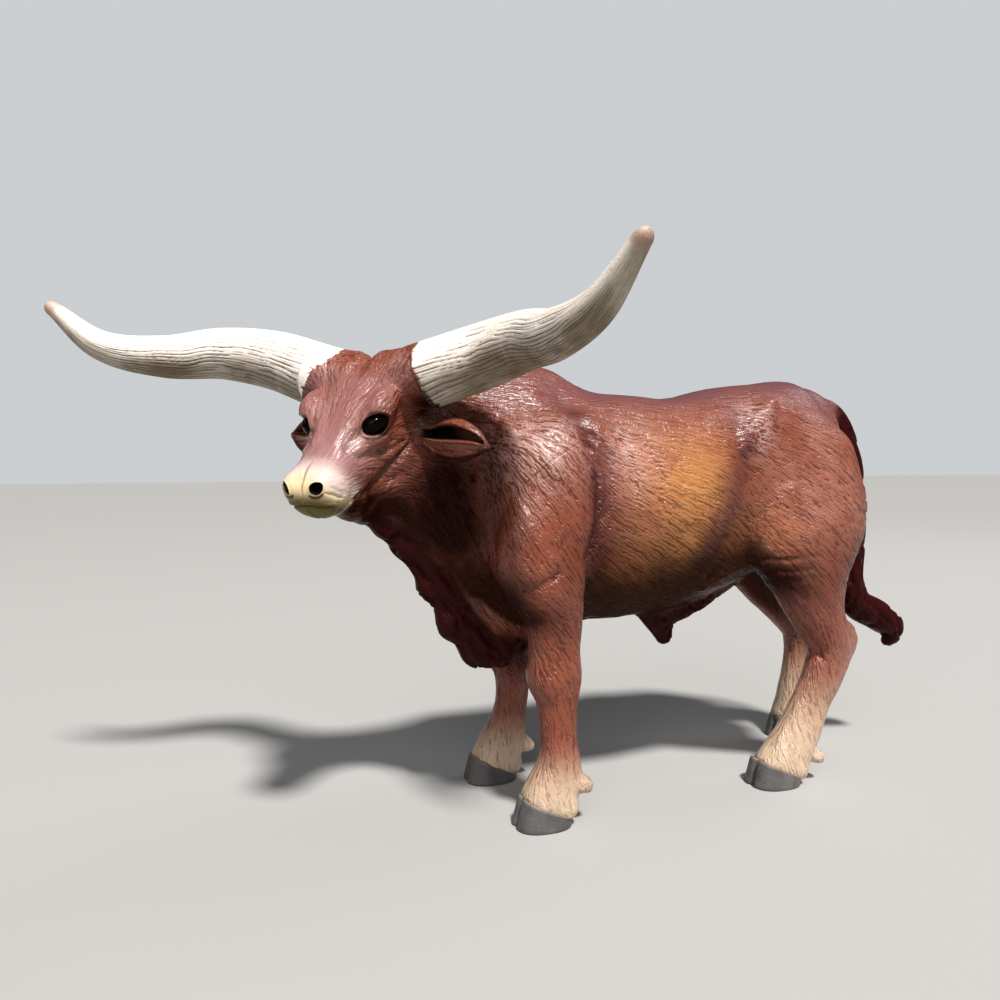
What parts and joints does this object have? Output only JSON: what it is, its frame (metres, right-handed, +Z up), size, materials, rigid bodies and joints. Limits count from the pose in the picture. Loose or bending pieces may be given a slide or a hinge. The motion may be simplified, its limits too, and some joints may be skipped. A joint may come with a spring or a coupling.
{
  "type": "toy cattle figurine",
  "caption": "Painted plastic toy figurine of a humped bull with very long outswept horns, standing with its head turned to its left.",
  "frame": {"origin": "centre of the bounding box's underside, on the floor that the four hooves stand on", "axes": "-Y the way the body faces, +X the bull's left side, +Z up"},
  "size_m": [0.0798, 0.1876, 0.0994],
  "materials": {
    "painted_brown": "satin painted, engraved hair",
    "painted_maroon": "satin painted, dark",
    "painted_ivory": "matt painted over lengthwise grooves",
    "painted_hoof_grey": "matt painted",
    "gloss_black": "gloss painted"
  },
  "bodies": {
    "root": {"head": "painted_brown", "neck": "painted_brown", "torso": "painted_brown", "dewlap": "painted_maroon", "tail": "painted_maroon", "sheath": "painted_maroon", "scrotum": "painted_maroon", "leg_front_left": "painted_brown", "leg_front_right": "painted_brown", "leg_hind_left": "painted_brown", "leg_hind_right": "painted_brown", "hoof_front_left": "painted_hoof_grey", "hoof_front_right": "painted_hoof_grey", "hoof_hind_left": "painted_hoof_grey", "hoof_hind_right": "painted_hoof_grey", "ear_left": "painted_brown", "ear_right": "painted_brown", "eye_left": "gloss_black", "eye_right": "gloss_black", "horn_left": "painted_ivory", "horn_right": "painted_ivory"}
  },
  "joints": []
}
